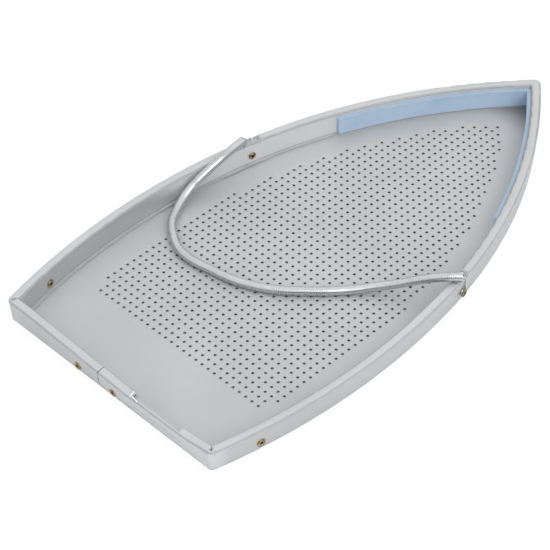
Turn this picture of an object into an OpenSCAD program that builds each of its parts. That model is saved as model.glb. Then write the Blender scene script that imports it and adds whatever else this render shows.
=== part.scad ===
// Iron shoe cover: a perforated tray that clips under the hot plate of a household iron.
// A folded aluminium plate sits in a slip sheet, and both are held in a folded rim channel
// by tubular rivets. A close-wound spring across the tray holds the iron in place.
// Units are millimetres. Z = 0 is the underside, +Y points to the nose.

/* [Overall] */
// Length, heel to nose
overall_length = 248; // [220:0.5:280]
// Width at the widest point
overall_width = 136.2; // [120:0.2:150]
// Distance of the widest point from the heel
widest_from_heel = 73.5; // [65:0.5:85]
// Radius of the long side curves
side_radius = 290; // [270:1:320]
// Radius of the nose curves
nose_radius = 238; // [225:1:250]
// Outer corner rounding at the nose
nose_rounding = 2.8; // [2:0.1:3]
// Outer corner rounding at the heel
heel_rounding = 3; // [2:0.1:3]

/* [Rim channel] */
// Sheet thickness of the rim strip
rim_sheet = 0.8; // [0.6:0.1:1]
// Width of the channel at its top
rim_web = 4.2; // [4:0.1:5]
// Outside radius of the two top bends
rim_bend = 1; // [0.9:0.1:1.2]
// Height of the rim's top above the underside
rim_top = 12.3; // [11:0.1:16]
// Height of the lower edge of the outer leg
rim_lower_edge = 2.4; // [2.2:0.1:3]
// Inward lean of the outer leg in degrees
rim_lean = 4.5; // [0:0.5:5]
// Inside radius of the bend above the foot
foot_bend = 0.3; // [0.2:0.1:0.6]
// How far the foot reaches out over the plate
foot_reach = 1.4; // [1:0.1:3]
// Width of the cuts where the strip is mitred or butted
mitre_gap = 0.4; // [0.2:0.1:0.6]
// Place of the butt seam along the heel
seam_x = -4.6; // [-12:0.2:0]
// Slant of the butt seam in degrees
seam_slant = 4; // [0:1:8]
// Left end of the heel cut-out
cutout_left = 13.6; // [12:0.2:20]
// Right end of the heel cut-out
cutout_right = 40.5; // [30:0.5:44]

/* [Plate and slip sheet] */
// Sheet thickness of the base plate
plate_sheet = 0.8; // [0.6:0.1:1]
// Thickness of the slip sheet
sole_thickness = 0.55; // [0.5:0.05:0.6]
// Inside bend radius of the plate's turned-up edge
plate_bend = 0.8; // [0.4:0.1:1]
// Height of the turned-up edges above the underside
flange_top = 7.8; // [7.6:0.1:8.6]
// How far the turned-up edges stop short of the corners
corner_relief = 4; // [4:0.5:8]
// Clearance between sheets that lie on each other
sheet_fit = 0.05; // [0.02:0.01:0.06]

/* [Steam holes] */
// Hole diameter
hole_diameter = 1.2; // [0.8:0.1:2]
// Hole pitch in both directions
hole_pitch = 3.5; // [3:0.1:6]
// Sideways shift of the whole pattern
hole_shift = 0.3; // [-1:0.1:1]
// Smallest distance from a hole's axis to the outline
hole_margin = 15.95; // [14:0.05:24]
// Distance of the first row from the heel
heel_margin = 36.5; // [20:0.5:60]
// Columns on each side of the middle
hole_columns = 14; // [8:1:16]
// Rows at the heel that stop one column sooner
short_rows = 2; // [0:1:4]

/* [Nose liner] */
// Thickness of the liner strip
liner_thickness = 1.6; // [1:0.1:2.5]
// Height of the liner's lower edge
liner_bottom = 2.5; // [2.4:0.1:4]
// Height of the liner's upper edge
liner_top = 10.6; // [9:0.1:10.8]
// Distance from the nose to the left end, along the part
liner_left = 77; // [50:1:90]
// Distance from the nose to the right end, along the part
liner_right = 77; // [50:1:90]

/* [Rivets] */
// Shank diameter
rivet_shank = 2.2; // [1.8:0.1:2.6]
// Bore through the rivet
rivet_bore = 1.3; // [1:0.1:1.5]
// Head diameter
rivet_head = 3.6; // [3.2:0.1:4]
// Head height
rivet_head_height = 0.45; // [0.35:0.05:0.6]
// Clearance of the shank in its bore, on the diameter
rivet_fit = 0.1; // [0.05:0.05:0.2]
// Height of the spring rivets
spring_rivet_height = 5.9; // [5.6:0.1:6.2]
// Height of the rivets near the heel corners
corner_rivet_height = 5.6; // [5.4:0.1:6]
// Height of the heel rivets
heel_rivet_height = 4.9; // [4.9:0.1:5.6]
// Distance of the spring rivets from the heel
spring_rivet_from_heel = 133.4; // [125:0.2:145]
// Distance of the corner rivets from the heel
corner_rivet_from_heel = 21.6; // [15:0.2:40]
// Place of the left heel rivet
heel_rivet_left = -16.9; // [-24:0.1:-10]
// Place of the right heel rivet
heel_rivet_right = 3.5; // [0:0.1:9]

/* [Spring] */
// Outside diameter of the close-wound coil
coil_diameter = 3.5; // [3:0.1:4]
// Wire diameter
spring_wire = 0.7; // [0.5:0.1:0.8]
// Air between the coil and the sheet under it
coil_air = 0.3; // [0.2:0.05:0.5]
// Air between the coil's ends and the rim's top
coil_lift = 0.35; // [0.3:0.05:1]
// Length of the pocket in the rim under each end of the spring
pocket_length = 8.8; // [7:0.2:10]
// Depth of the pocket below the rim's top
pocket_depth = 1.1; // [0.9:0.1:1.3]

/* [Hidden] */
big = 400;
// The side and nose radii are given for these sizes, and follow a change of them through the
// one arc that would run from the widest point to the nose
drawn_for = [248, 136.2, 73.5, 2.8];
actual = [overall_length, overall_width, widest_from_heel, nose_rounding];
function plain_radius(s) =
    let(reach = s[0] - s[2] - s[3], half = s[1] / 2)
    (half * half + reach * reach - s[3] * s[3]) / (2 * (half - s[3]));
curve_growth = plain_radius(actual) / plain_radius(drawn_for);
side_r = side_radius * curve_growth;
nose_r = nose_radius * curve_growth;
// Swept pieces stop this far from each other and are bridged by slightly thinner keys,
// which keeps the joins exact where two curves run on in one direction
joint_gap = 0.05;
key_inset = 0.02;
key_reach = 0.25;
// Length of the flat tongue that joins a turned-up edge to its sheet
tongue = 0.5;
// How much further the heel's turned-up edge stops short of the corners
heel_relief = 2;
// Length of the cuts that let the strip fold
slit_length = 20;
// Parts of the pocket: its place ahead of the rivet, its sheared end and the wire's way out
pocket_ahead = 1.3;
shear_width = 0.6;
shear_depth = 3;
wire_gate = 3;

// Outline: a side arc and a nose arc on each side, tangent to each other
half_l = overall_length / 2;
half_w = overall_width / 2;
widest_y = widest_from_heel - half_l;
side_c = [half_w - side_r, widest_y];
nose_axis = [0, half_l - nose_rounding];
arc_step = side_r - nose_r;
nose_rest = nose_r - nose_rounding;
to_nose = nose_axis - side_c;
span = norm(to_nose);
along_span = (arc_step * arc_step - nose_rest * nose_rest + span * span) / (2 * span);
off_span = sqrt(arc_step * arc_step - along_span * along_span);
nose_c = side_c + [
    (to_nose[0] * along_span + to_nose[1] * off_span) / span,
    (to_nose[1] * along_span - to_nose[0] * off_span) / span
];
heel_axis_y = heel_rounding - half_l;
heel_axis_dx = sqrt(pow(side_r - heel_rounding, 2) - pow(heel_axis_y - widest_y, 2));
heel_axis = [side_c[0] + heel_axis_dx, heel_axis_y];
angle_heel = atan2(heel_axis[1] - side_c[1], heel_axis[0] - side_c[0]);
angle_join = atan2(nose_c[1] - side_c[1], nose_c[0] - side_c[0]);
angle_tip = atan2(nose_axis[1] - nose_c[1], -nose_c[0]);
join_y = side_c[1] + side_r * sin(angle_join);
// Direction of the mitre at the right heel corner, pointing inward
mitre_angle = (angle_heel - 90) / 2 + 180;

// Heights and insets of the layers
plate_bottom = sole_thickness + sheet_fit;
plate_top = plate_bottom + plate_sheet;
foot_bottom = plate_top + sheet_fit;
foot_top = foot_bottom + rim_sheet;
inner_leg = rim_web - rim_sheet;
plate_in = inner_leg - sheet_fit;
plate_out = plate_in - plate_sheet;
bend_inset = plate_in + plate_bend;
bend_height = plate_top + plate_bend;
plate_radius = plate_bend + plate_sheet;
sole_in = plate_radius + sheet_fit;
sole_radius = sole_in + sole_thickness;
sole_out = bend_inset - sole_radius;
lean_drop = rim_top - rim_bend - rim_bend * sin(rim_lean) - rim_lower_edge;
outer_leg_length = lean_drop / cos(rim_lean);

// Rivet places
spring_rivet_y = spring_rivet_from_heel - half_l;
corner_rivet_y = corner_rivet_from_heel - half_l;
head_stand_off = spring_wire + 0.15;
coil_radius = coil_diameter / 2;
pocket_floor = rim_top - pocket_depth;

// Half-width of the outline and direction of its outward normal at a given y
function arc_c(y) = y > join_y ? nose_c : side_c;
function arc_r(y) = y > join_y ? nose_r : side_r;
function arc_angle(y) = asin((y - arc_c(y)[1]) / arc_r(y));
function half_width(y) = arc_c(y)[0] + arc_r(y) * cos(arc_angle(y));
// Inset of a point of the right half behind the outline
function above_join(p) = atan2(p[1] - side_c[1], p[0] - side_c[0]) > angle_join;
function side_inset(p) = above_join(p)
    ? nose_r - norm(p - nose_c)
    : side_r - norm(p - side_c);
// Inset of the outer face of the leaning leg at height z
function lean_inset(z) = rim_bend * (1 - cos(rim_lean))
    + max(0, rim_top - rim_bend - rim_bend * sin(rim_lean) - z) * tan(rim_lean);
// A point beside the wall: side s, row y, distance out and along, height z
function wall_point(s, y, out, along, z) =
    let(a = arc_angle(y), x = half_width(y))
    [
        s * (x + out * cos(a) - along * sin(a)),
        y + out * sin(a) + along * cos(a),
        z
    ];

module ring_sector(r_out, r_in, a0, a1) {
    intersection() {
        difference() {
            circle(r = r_out, $fn = 64);
            circle(r = r_in, $fn = 64);
        }
        polygon([
            [0, 0],
            3 * r_out * [cos(a0), sin(a0)],
            3 * r_out * [cos((a0 + a1) / 2), sin((a0 + a1) / 2)],
            3 * r_out * [cos(a1), sin(a1)]
        ]);
    }
}

// Section of the rim: the outline is at x = 0 and inward is -x.
// A key's section is the same with the sheet thinner by k on both faces.
module rim_outer_section(k = 0) {
    bend_in = rim_bend - rim_sheet + k;
    translate([-rim_bend, rim_top - rim_bend]) {
        ring_sector(rim_bend - k, bend_in, -rim_lean, 90);
        rotate(-rim_lean)
            translate([bend_in, k - outer_leg_length])
                square([rim_sheet - 2 * k, outer_leg_length - k]);
    }
    translate([rim_bend - rim_web, rim_top - rim_sheet + k])
        square([rim_web - 2 * rim_bend, rim_sheet - 2 * k]);
}

module rim_section(k = 0) {
    rim_outer_section(k);
    translate([rim_bend - rim_web, rim_top - rim_bend])
        ring_sector(rim_bend - k, rim_bend - rim_sheet + k, 90, 180);
    translate([k - rim_web, foot_top + foot_bend])
        square([rim_sheet - 2 * k, rim_top - rim_bend - foot_top - foot_bend]);
    translate([-rim_web - foot_bend, foot_top + foot_bend])
        ring_sector(foot_bend + rim_sheet - k, foot_bend + k, -90, 0);
    translate([k - rim_web - foot_reach, foot_bottom + k])
        square([foot_reach - foot_bend - k, rim_sheet - 2 * k]);
}

// Section of a sheet's turned-up edge, with a thinner tongue that reaches into the flat part
module edge_section(r_out, r_in, top) {
    translate([-bend_inset, bend_height]) {
        ring_sector(r_out, r_in, -90, 0);
        translate([r_in, 0])
            square([r_out - r_in, top - bend_height]);
        translate([-tongue, key_inset - r_out])
            square([tongue + joint_gap, r_out - r_in - 2 * key_inset]);
    }
}

// Sweeps of a section round one side arc, one nose arc or along the heel
module arc_sweep(s, c, r, a0, a1) {
    start = s > 0 ? a0 : 180 - a1;
    translate([s * c[0], c[1], 0])
        rotate([0, 0, start])
            rotate_extrude(angle = a1 - a0, $fn = 360)
                translate([r, 0])
                    children();
}

// A short straight key across the gap between two swept pieces
module key(p, a) {
    translate([p[0], p[1], 0])
        rotate([0, 0, a])
            translate([0, joint_gap / 2 + key_reach, 0])
                rotate([90, 0, 0])
                    linear_extrude(joint_gap + 2 * key_reach)
                        children();
}

module heel_sweep(x0, x1) {
    translate([x1, -half_l, 0])
        rotate([90, 0, -90])
            linear_extrude(x1 - x0)
                children();
}

// Everything beyond the mitre of a heel corner, seen from the side wall
module beyond_mitre(s, turn) {
    a = s > 0 ? mitre_angle : 180 - mitre_angle;
    translate([s * heel_axis[0], heel_axis[1], -1])
        rotate([0, 0, a])
            translate([-big / 2, turn * s > 0 ? -mitre_gap / 2 : mitre_gap / 2 - big, 0])
                cube([big, big, big]);
}

module corner_turn(axis, r, a0, a1) {
    translate([axis[0], axis[1], 0])
        rotate([0, 0, a0])
            rotate_extrude(angle = a1 - a0, $fn = 96)
                intersection() {
                    translate([r, 0])
                        rim_outer_section();
                    square([r + 1, rim_top + 1]);
                }
}

module corner_key(p, a, r) {
    key(p, a)
        intersection() {
            rim_outer_section(key_inset);
            translate([0.2 - r, 0])
                square([r + 1, rim_top + 1]);
        }
}

side_gap = joint_gap / side_r * 180 / PI;
nose_gap = joint_gap / nose_r * 180 / PI;
join_point = side_c + side_r * [cos(angle_join), sin(angle_join)];
tip_point = nose_c + nose_r * [cos(angle_tip), sin(angle_tip)];
heel_point = side_c + side_r * [cos(angle_heel), sin(angle_heel)];
function mirrored(s, p) = [s * p[0], p[1]];
function turned(s, a) = s > 0 ? a : 180 - a;

module rim_side(s) {
    difference() {
        arc_sweep(s, side_c, side_r, angle_heel + side_gap, angle_join - side_gap / 2)
            rim_section();
        beyond_mitre(s, 1);
    }
    key(mirrored(s, join_point), turned(s, angle_join))
        rim_section(key_inset);
}

module rim_nose(s) {
    difference() {
        arc_sweep(s, nose_c, nose_r, angle_join + nose_gap / 2, angle_tip - nose_gap)
            rim_section();
        translate([s > 0 ? -big : 0, 0, -1])
            cube([big, big, big]);
        mitre_of_nose();
    }
    corner_key(mirrored(s, tip_point), turned(s, angle_tip), nose_rounding);
}

// The web is whole at the nose, and the inner leg is cut there to let the strip fold
module mitre_of_nose() {
    translate([-mitre_gap / 2, half_l - slit_length, 0])
        cube([mitre_gap, slit_length - nose_rounding, rim_top - rim_bend - 0.2]);
}

module rim_heel() {
    difference() {
        heel_sweep(joint_gap - heel_axis[0], heel_axis[0] - joint_gap)
            rim_section();
        for (s = [-1, 1])
            beyond_mitre(s, -1);
    }
    for (s = [-1, 1]) {
        corner_key([s * heel_axis[0], -half_l], -90, heel_rounding);
        corner_key(mirrored(s, heel_point), turned(s, angle_heel), heel_rounding);
    }
}

// Thin cut along the mitre, from the web's outer part inward
module mitre_slit(s) {
    a = s > 0 ? mitre_angle : 180 - mitre_angle;
    translate([s * heel_axis[0], heel_axis[1], foot_bottom - 1])
        rotate([0, 0, a])
            translate([rim_bend + 0.2 - heel_rounding, -mitre_gap / 2, 0])
                cube([slit_length, mitre_gap, slit_length]);
}

// A box beside the wall: centred along it, from inset n0 to n1
module wall_box(s, y, n0, n1, length, z0, z1) {
    translate(wall_point(s, y, 0, 0, 0))
        rotate([0, 0, s > 0 ? arc_angle(y) : 180 - arc_angle(y)])
            translate([-n1, -length / 2, z0])
                cube([n1 - n0, length, z1 - z0]);
}

// Rivet axis frame: local +X is outward at the outline, at height z
module at_side(s, y, z) {
    translate(wall_point(s, y, 0, 0, z))
        rotate([0, 0, s > 0 ? arc_angle(y) : 180 - arc_angle(y)])
            children();
}

module at_heel(x, z) {
    translate([x, -half_l, z])
        rotate([0, 0, -90])
            children();
}

module rivet_hole() {
    translate([-rim_web - 2, 0, 0])
        rotate([0, 90, 0])
            cylinder(d = rivet_shank + rivet_fit, h = rim_web + 4, $fn = 32);
}

module rivet_holes() {
    for (s = [-1, 1]) {
        at_side(s, spring_rivet_y, spring_rivet_height)
            rivet_hole();
        at_side(s, corner_rivet_y, corner_rivet_height)
            rivet_hole();
    }
    for (x = [heel_rivet_left, heel_rivet_right])
        at_heel(x, heel_rivet_height)
            rivet_hole();
}

// A tubular rivet from the tray side of the inner leg to a head beyond the outer leg
module rivet(z, stand_off) {
    face = stand_off - lean_inset(z + rivet_head / 2);
    roll = 0.5;
    tail = -rim_web - sheet_fit;
    head = face + rivet_head_height;
    rotate([0, 90, 0])
        rotate_extrude($fn = 48)
            polygon([
                [rivet_bore / 2, tail - roll],
                [rivet_head / 2 - 0.4, tail - roll],
                [rivet_head / 2 - 0.1, tail - roll / 2],
                [rivet_head / 2 - 0.1, tail],
                [rivet_shank / 2, tail],
                [rivet_shank / 2, face],
                [rivet_head / 2, face],
                [rivet_head / 2, face + rivet_head_height * 0.5],
                [rivet_head / 2 - 0.4, head],
                [rivet_bore / 2 + 0.15, head],
                [rivet_bore / 2, head - 0.15]
            ]);
}

// Flat outlines
module half_outline(n) {
    reach = span + big;
    join_dir = [cos(angle_join), sin(angle_join)];
    intersection() {
        union() {
            intersection() {
                translate(side_c)
                    circle(r = side_r - n, $fn = 360);
                polygon([
                    side_c,
                    side_c + reach * join_dir,
                    side_c + reach * [1, -1],
                    side_c + reach * [0, -1]
                ]);
            }
            intersection() {
                translate(nose_c)
                    circle(r = nose_r - n, $fn = 360);
                polygon([
                    side_c,
                    side_c + reach * join_dir,
                    side_c + reach * [1, 1],
                    side_c + reach * [0, 1]
                ]);
            }
        }
        translate([0, n - half_l])
            square([big, big]);
    }
}

module outline(n) {
    half_outline(n);
    mirror([1, 0])
        half_outline(n);
}

first_row = heel_margin - half_l;
row_count = floor((overall_length - heel_margin) / hole_pitch);
module holes_2d() {
    for (row = [0:row_count]) {
        y = first_row + row * hole_pitch;
        last = row < short_rows ? hole_columns - 1 : hole_columns;
        for (i = [-last:last])
            if (side_inset([abs(i) * hole_pitch, y]) >= hole_margin)
                translate([hole_shift + i * hole_pitch, y])
                    circle(d = hole_diameter, $fn = 16);
    }
}

// A perforated sheet with its edges turned up, open at the three corners
module tray_sheet(r_out, r_in, bottom, thick) {
    relief = 2 * asin(corner_relief / side_r);
    heel_end = heel_axis[0] - corner_relief - heel_relief;
    translate([0, 0, bottom])
        linear_extrude(thick)
            difference() {
                outline(bend_inset + joint_gap);
                holes_2d();
            }
    difference() {
        union() {
            for (s = [-1, 1]) {
                arc_sweep(s, side_c, side_r, angle_heel + relief, angle_join - 2 * side_gap)
                    edge_section(r_out, r_in, flange_top);
                arc_sweep(s, nose_c, nose_r, angle_join + 2 * nose_gap, angle_tip - relief)
                    edge_section(r_out, r_in, flange_top);
            }
            heel_sweep(-heel_end, heel_end)
                edge_section(r_out, r_in, flange_top);
        }
        rivet_holes();
    }
}

module sole_sheet() {
    color("#efece2")
        tray_sheet(sole_radius, sole_in, 0, sole_thickness);
}

module base_plate() {
    color("#c9cbcd")
        tray_sheet(plate_radius, plate_bend, plate_bottom, plate_sheet);
}

// Pocket in the web under the end of the spring, sheared at its heel end
module pocket_cut(s) {
    y = spring_rivet_y + pocket_ahead;
    wall_box(s, y, rim_bend, rim_web - rim_bend, pocket_length, pocket_floor, rim_top + 1);
    wall_box(s, y + (shear_width - pocket_length) / 2, rim_bend, rim_web - rim_bend + 0.3,
             shear_width, pocket_floor - shear_depth, rim_top + 1);
    wall_box(s, y + 0.2, -1, rim_bend + 0.1, wire_gate, pocket_floor, rim_top + 1);
}

module pocket_floor_plate(s) {
    y = spring_rivet_y + pocket_ahead;
    wall_box(s, y, rim_bend - 0.3, rim_web - 0.5, pocket_length,
             pocket_floor - rim_sheet, pocket_floor);
}

module rim() {
    color("#d0d2d4")
        difference() {
            union() {
                for (s = [-1, 1]) {
                    rim_side(s);
                    rim_nose(s);
                    pocket_floor_plate(s);
                }
                rim_heel();
                corner_turn(nose_axis, nose_rounding, angle_tip, 180 - angle_tip);
                corner_turn(heel_axis, heel_rounding, -90, angle_heel);
                corner_turn([-heel_axis[0], heel_axis[1]], heel_rounding,
                            180 - angle_heel, 270);
            }
            for (s = [-1, 1]) {
                mitre_slit(s);
                pocket_cut(s);
            }
            // butt seam
            translate([seam_x, -half_l - 1, 0])
                rotate([0, 0, seam_slant])
                    translate([-mitre_gap / 2, 0, 0])
                        cube([mitre_gap, 10, rim_top + 1]);
            // heel cut-out, through all but the outer leg
            translate([cutout_left, rim_bend - half_l, foot_bottom - 0.5])
                cube([cutout_right - cutout_left, 10, rim_top]);
            rivet_holes();
        }
}

// A strip along the rim's inner leg, folded round the nose
module nose_liner() {
    inset = rim_web + sheet_fit;
    color("#9ebbdb")
        translate([0, 0, liner_bottom])
            linear_extrude(liner_top - liner_bottom)
                difference() {
                    outline(inset);
                    outline(inset + liner_thickness);
                    translate([-big, -big])
                        square([big, big + half_l - liner_left]);
                    translate([0, -big])
                        square([big, big + half_l - liner_right]);
                }
}

module rim_rivets() {
    color("#b08a4c") {
        for (s = [-1, 1])
            at_side(s, corner_rivet_y, corner_rivet_height)
                rivet(corner_rivet_height, 0);
        for (x = [heel_rivet_left, heel_rivet_right])
            at_heel(x, heel_rivet_height)
                rivet(heel_rivet_height, 0);
    }
}

module spring_rivets() {
    color("#b08a4c")
        for (s = [-1, 1])
            at_side(s, spring_rivet_y, spring_rivet_height)
                rivet(spring_rivet_height, head_stand_off);
}

// The spring: a hook from each rivet over the rim, and the coil lying across the tray
eye_r = rivet_shank / 2 + spring_wire / 2 + 0.1;
eye_out = spring_wire / 2 + 0.07 - lean_inset(spring_rivet_height + eye_r + spring_wire / 2);
function eye(s) = [
    for (a = [-280:20:-20])
        wall_point(s, spring_rivet_y, eye_out, eye_r * cos(a),
                   spring_rivet_height + eye_r * sin(a))
];
lead_out = spring_wire / 2 + 0.1;
function lead(s) = [
    for (z = [spring_rivet_height, pocket_floor - 0.4])
        wall_point(s, spring_rivet_y, z > 8 ? lead_out : eye_out, eye_r, z)
];
// The coil's route, from the left end to the right end. It leaves the left rim, runs down
// beside the wall, lies on the plate in a wide bow and rises to the right rim.
// Each point: percent of the way from the middle to the inner wall at its row, distance ahead
// of the spring rivets, and percent of the rise from the plate to the rim.
rest_z = plate_top + coil_radius + coil_air;
end_z = rim_top + coil_radius + coil_lift;
coil_route = [
    [-103.1, -3.6, 100],
    [-100.2, -9.3, 100],
    [-96.6, -16.6, 99],
    [-95.8, -23.2, 80],
    [-96, -29.4, 53],
    [-96.2, -33.6, 30],
    [-94.4, -38.7, 11],
    [-89.7, -45, 0],
    [-82.5, -51.4, 0],
    [-72, -56.5, 0],
    [-60.3, -60.3, 0],
    [-46.8, -61.1, 0],
    [-32.9, -59.7, 0],
    [-16.7, -57.8, 0],
    [-3, -54.5, 0],
    [10.2, -49.8, 0],
    [22.4, -43.4, 0],
    [34, -36.5, 0],
    [44.8, -29.2, 0],
    [56.5, -21.8, 12],
    [70.2, -15.7, 40],
    [79, -12.3, 63],
    [87.9, -8.8, 85],
    [97.8, -4.5, 99],
    [106.7, -0.1, 100]
];
function route_point(p) =
    let(y = spring_rivet_y + p[1])
    [
        (half_width(y) - rim_web) * p[0] / 100,
        y,
        rest_z + (end_z - rest_z) * p[2] / 100
    ];
coil_axis = [for (p = coil_route) route_point(p)];
left_over = [
    route_point([-103.9, -1.5, 92]),
    wall_point(-1, spring_rivet_y, -1.6, eye_r - 0.2, rim_top + 0.6),
    wall_point(-1, spring_rivet_y, 0, eye_r, pocket_floor + spring_wire / 2 + 0.25)
];
right_over = [
    wall_point(1, spring_rivet_y, 0, 1, rim_top + 1.3),
    wall_point(1, spring_rivet_y, 0.3, eye_r - 0.1, rim_top + 0.4)
];

function spline(p, i, t) =
    let(
        a = p[max(0, i - 1)],
        b = p[i],
        c = p[min(len(p) - 1, i + 1)],
        d = p[min(len(p) - 1, i + 2)]
    )
    0.5 * (2 * b + (c - a) * t + (2 * a - 5 * b + 4 * c - d) * t * t
        + (3 * b - a - 3 * c + d) * t * t * t);
coil_path = [
    for (i = [0:len(coil_axis) - 2])
        for (k = [0:3])
            spline(coil_axis, i, k / 4),
    coil_axis[len(coil_axis) - 1]
];
function backwards(v) = [for (i = [len(v) - 1:-1:0]) v[i]];
left_hook = concat(eye(-1), [lead(-1)[1]], backwards(left_over));
right_hook = concat(right_over, [lead(1)[1]], backwards(eye(1)));
wire_path = concat(left_hook, coil_path, right_hook);
ends_at = [len(left_hook), len(left_hook) + len(coil_path) - 1];

function unit(v) = v / norm(v);
function tangent(p, i) = unit(p[min(len(p) - 1, i + 1)] - p[max(0, i - 1)]);
function square_to(n, t) = unit(n - (n * t) * t);
function normals(p, i, n) = i >= len(p)
    ? []
    : let(m = square_to(n, tangent(p, i))) concat([m], normals(p, i + 1, m));
ring_sides = 12;
function ring(c, t, n, r) =
    let(b = cross(t, n))
    [
        for (k = [0:ring_sides - 1])
            c + r * (cos(360 * k / ring_sides) * n + sin(360 * k / ring_sides) * b)
    ];
// The rings double at both coil ends, where the wire meets the full coil
wire_normals = normals(wire_path, 0, [0, 0.3, 1]);
wire_rings = [
    for (i = [0:len(wire_path) - 1])
        let(
            coil = i >= ends_at[0] && i <= ends_at[1],
            t = tangent(wire_path, i),
            r_wire = spring_wire / 2,
            both = i == ends_at[0] || i == ends_at[1],
            radii = i == ends_at[0] ? [r_wire, coil_radius]
                : i == ends_at[1] ? [coil_radius, r_wire]
                : [coil ? coil_radius : r_wire]
        )
        for (r = radii)
            ring(wire_path[i], t, wire_normals[i], r)
];

module hold_spring() {
    count = len(wire_rings);
    n = ring_sides;
    color("#d6d8da")
        polyhedron(
            points = [for (w = wire_rings) for (q = w) q],
            faces = concat(
                [[for (k = [0:n - 1]) k]],
                [
                    for (i = [0:count - 2])
                        for (k = [0:n - 1])
                            for (tri = [0, 1])
                                let(
                                    a = i * n + k,
                                    b = i * n + (k + 1) % n,
                                    c = b + n,
                                    d = a + n
                                )
                                tri == 0 ? [a, d, c] : [a, c, b]
                ],
                [[for (k = [n - 1:-1:0]) (count - 1) * n + k]]
            ),
            convexity = 8
        );
}

sole_sheet();
base_plate();
rim();
nose_liner();
hold_spring();
rim_rivets();
spring_rivets();
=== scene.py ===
"""Looks of the iron shoe cover: a slightly bowed perforated plate, a wound coil spring and worn
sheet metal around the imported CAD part. Sizes are in millimetres until a mesh is made."""

import math

import bpy
from mathutils import Matrix, Vector
from mathutils.geometry import delaunay_2d_cdt


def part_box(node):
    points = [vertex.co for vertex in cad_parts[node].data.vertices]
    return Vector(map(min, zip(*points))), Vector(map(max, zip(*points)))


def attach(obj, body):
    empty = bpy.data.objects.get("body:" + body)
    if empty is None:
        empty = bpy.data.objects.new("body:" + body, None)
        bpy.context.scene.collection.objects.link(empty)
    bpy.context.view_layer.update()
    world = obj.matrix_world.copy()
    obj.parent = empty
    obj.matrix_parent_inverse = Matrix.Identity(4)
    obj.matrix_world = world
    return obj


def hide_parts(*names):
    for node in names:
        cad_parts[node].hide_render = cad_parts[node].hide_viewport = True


MM = 0.001

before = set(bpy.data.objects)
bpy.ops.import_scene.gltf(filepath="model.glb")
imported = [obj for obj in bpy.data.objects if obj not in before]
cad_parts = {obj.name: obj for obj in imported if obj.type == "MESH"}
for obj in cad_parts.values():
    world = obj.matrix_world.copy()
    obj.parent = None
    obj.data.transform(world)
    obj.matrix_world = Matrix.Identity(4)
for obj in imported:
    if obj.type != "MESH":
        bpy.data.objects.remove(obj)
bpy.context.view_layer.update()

# Sizes that the part's source has too
HALF_L = 124.0
HALF_W = 68.1
WIDEST_Y = 73.5 - HALF_L
SIDE_R = 290.0
NOSE_R = 238.0
NOSE_ROUNDING = 2.8
RIM_TOP = 12.3
RIM_WEB = 4.2
RIM_BEND = 1.0
RIM_LOWER_EDGE = 2.4
RIM_LEAN = math.radians(4.5)
PLATE_BOTTOM = 0.6
PLATE_SHEET = 0.8
PLATE_TOP = PLATE_BOTTOM + PLATE_SHEET
PLATE_BEND = 0.8
FLANGE_TOP = 7.8
BEND_INSET = 4.15
CORNER_RELIEF = 4.0
HOLE_D = 1.2
HOLE_PITCH = 3.5
HOLE_SHIFT = 0.3
HOLE_MARGIN = 15.95
HEEL_MARGIN = 36.5
HOLE_COLUMNS = 14
SHORT_ROWS = 2
COIL_D = 3.5
WIRE_D = 0.7
COIL_AIR = 0.3
COIL_LIFT = 0.35
RIVET_SHANK = 2.2
SPRING_RIVET_Y = 9.4
SPRING_RIVET_Z = 5.9
POCKET_FLOOR = RIM_TOP - 1.1
POCKET_LENGTH = 8.8
POCKET_AHEAD = 1.3
RAMP_LENGTH = 2.2

# The outline: a side arc and a nose arc, tangent to each other
SIDE_C = Vector((HALF_W - SIDE_R, WIDEST_Y))
NOSE_AXIS = Vector((0, HALF_L - NOSE_ROUNDING))


def nose_centre():
    step, rest = SIDE_R - NOSE_R, NOSE_R - NOSE_ROUNDING
    way = NOSE_AXIS - SIDE_C
    span = way.length
    along = (step * step - rest * rest + span * span) / (2 * span)
    off = math.sqrt(step * step - along * along)
    return SIDE_C + (way * along + Vector((way.y, -way.x)) * off) / span


NOSE_C = nose_centre()
JOIN_ANGLE = math.atan2(NOSE_C.y - SIDE_C.y, NOSE_C.x - SIDE_C.x)
JOIN_Y = SIDE_C.y + SIDE_R * math.sin(JOIN_ANGLE)


def arc_at(y):
    """Centre and radius of the right side's arc at y."""
    return (NOSE_C, NOSE_R) if y > JOIN_Y else (SIDE_C, SIDE_R)


def edge_point(y, inset=0.0):
    """Point of the right side's outline, moved inward along its normal, and that normal."""
    c, r = arc_at(y)
    a = math.asin((y - c.y) / r)
    n = Vector((math.cos(a), math.sin(a)))
    return c + n * (r - inset), n


def inset_of(x, y):
    """How far a point lies inside the outline."""
    p = Vector((abs(x), y))
    nose = math.atan2(p.y - SIDE_C.y, p.x - SIDE_C.x) > JOIN_ANGLE
    side = NOSE_R - (p - NOSE_C).length if nose else SIDE_R - (p - SIDE_C).length
    return min(side, y + HALF_L)


def side_inset(x, y):
    p = Vector((abs(x), y))
    nose = math.atan2(p.y - SIDE_C.y, p.x - SIDE_C.x) > JOIN_ANGLE
    return NOSE_R - (p - NOSE_C).length if nose else SIDE_R - (p - SIDE_C).length


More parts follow.
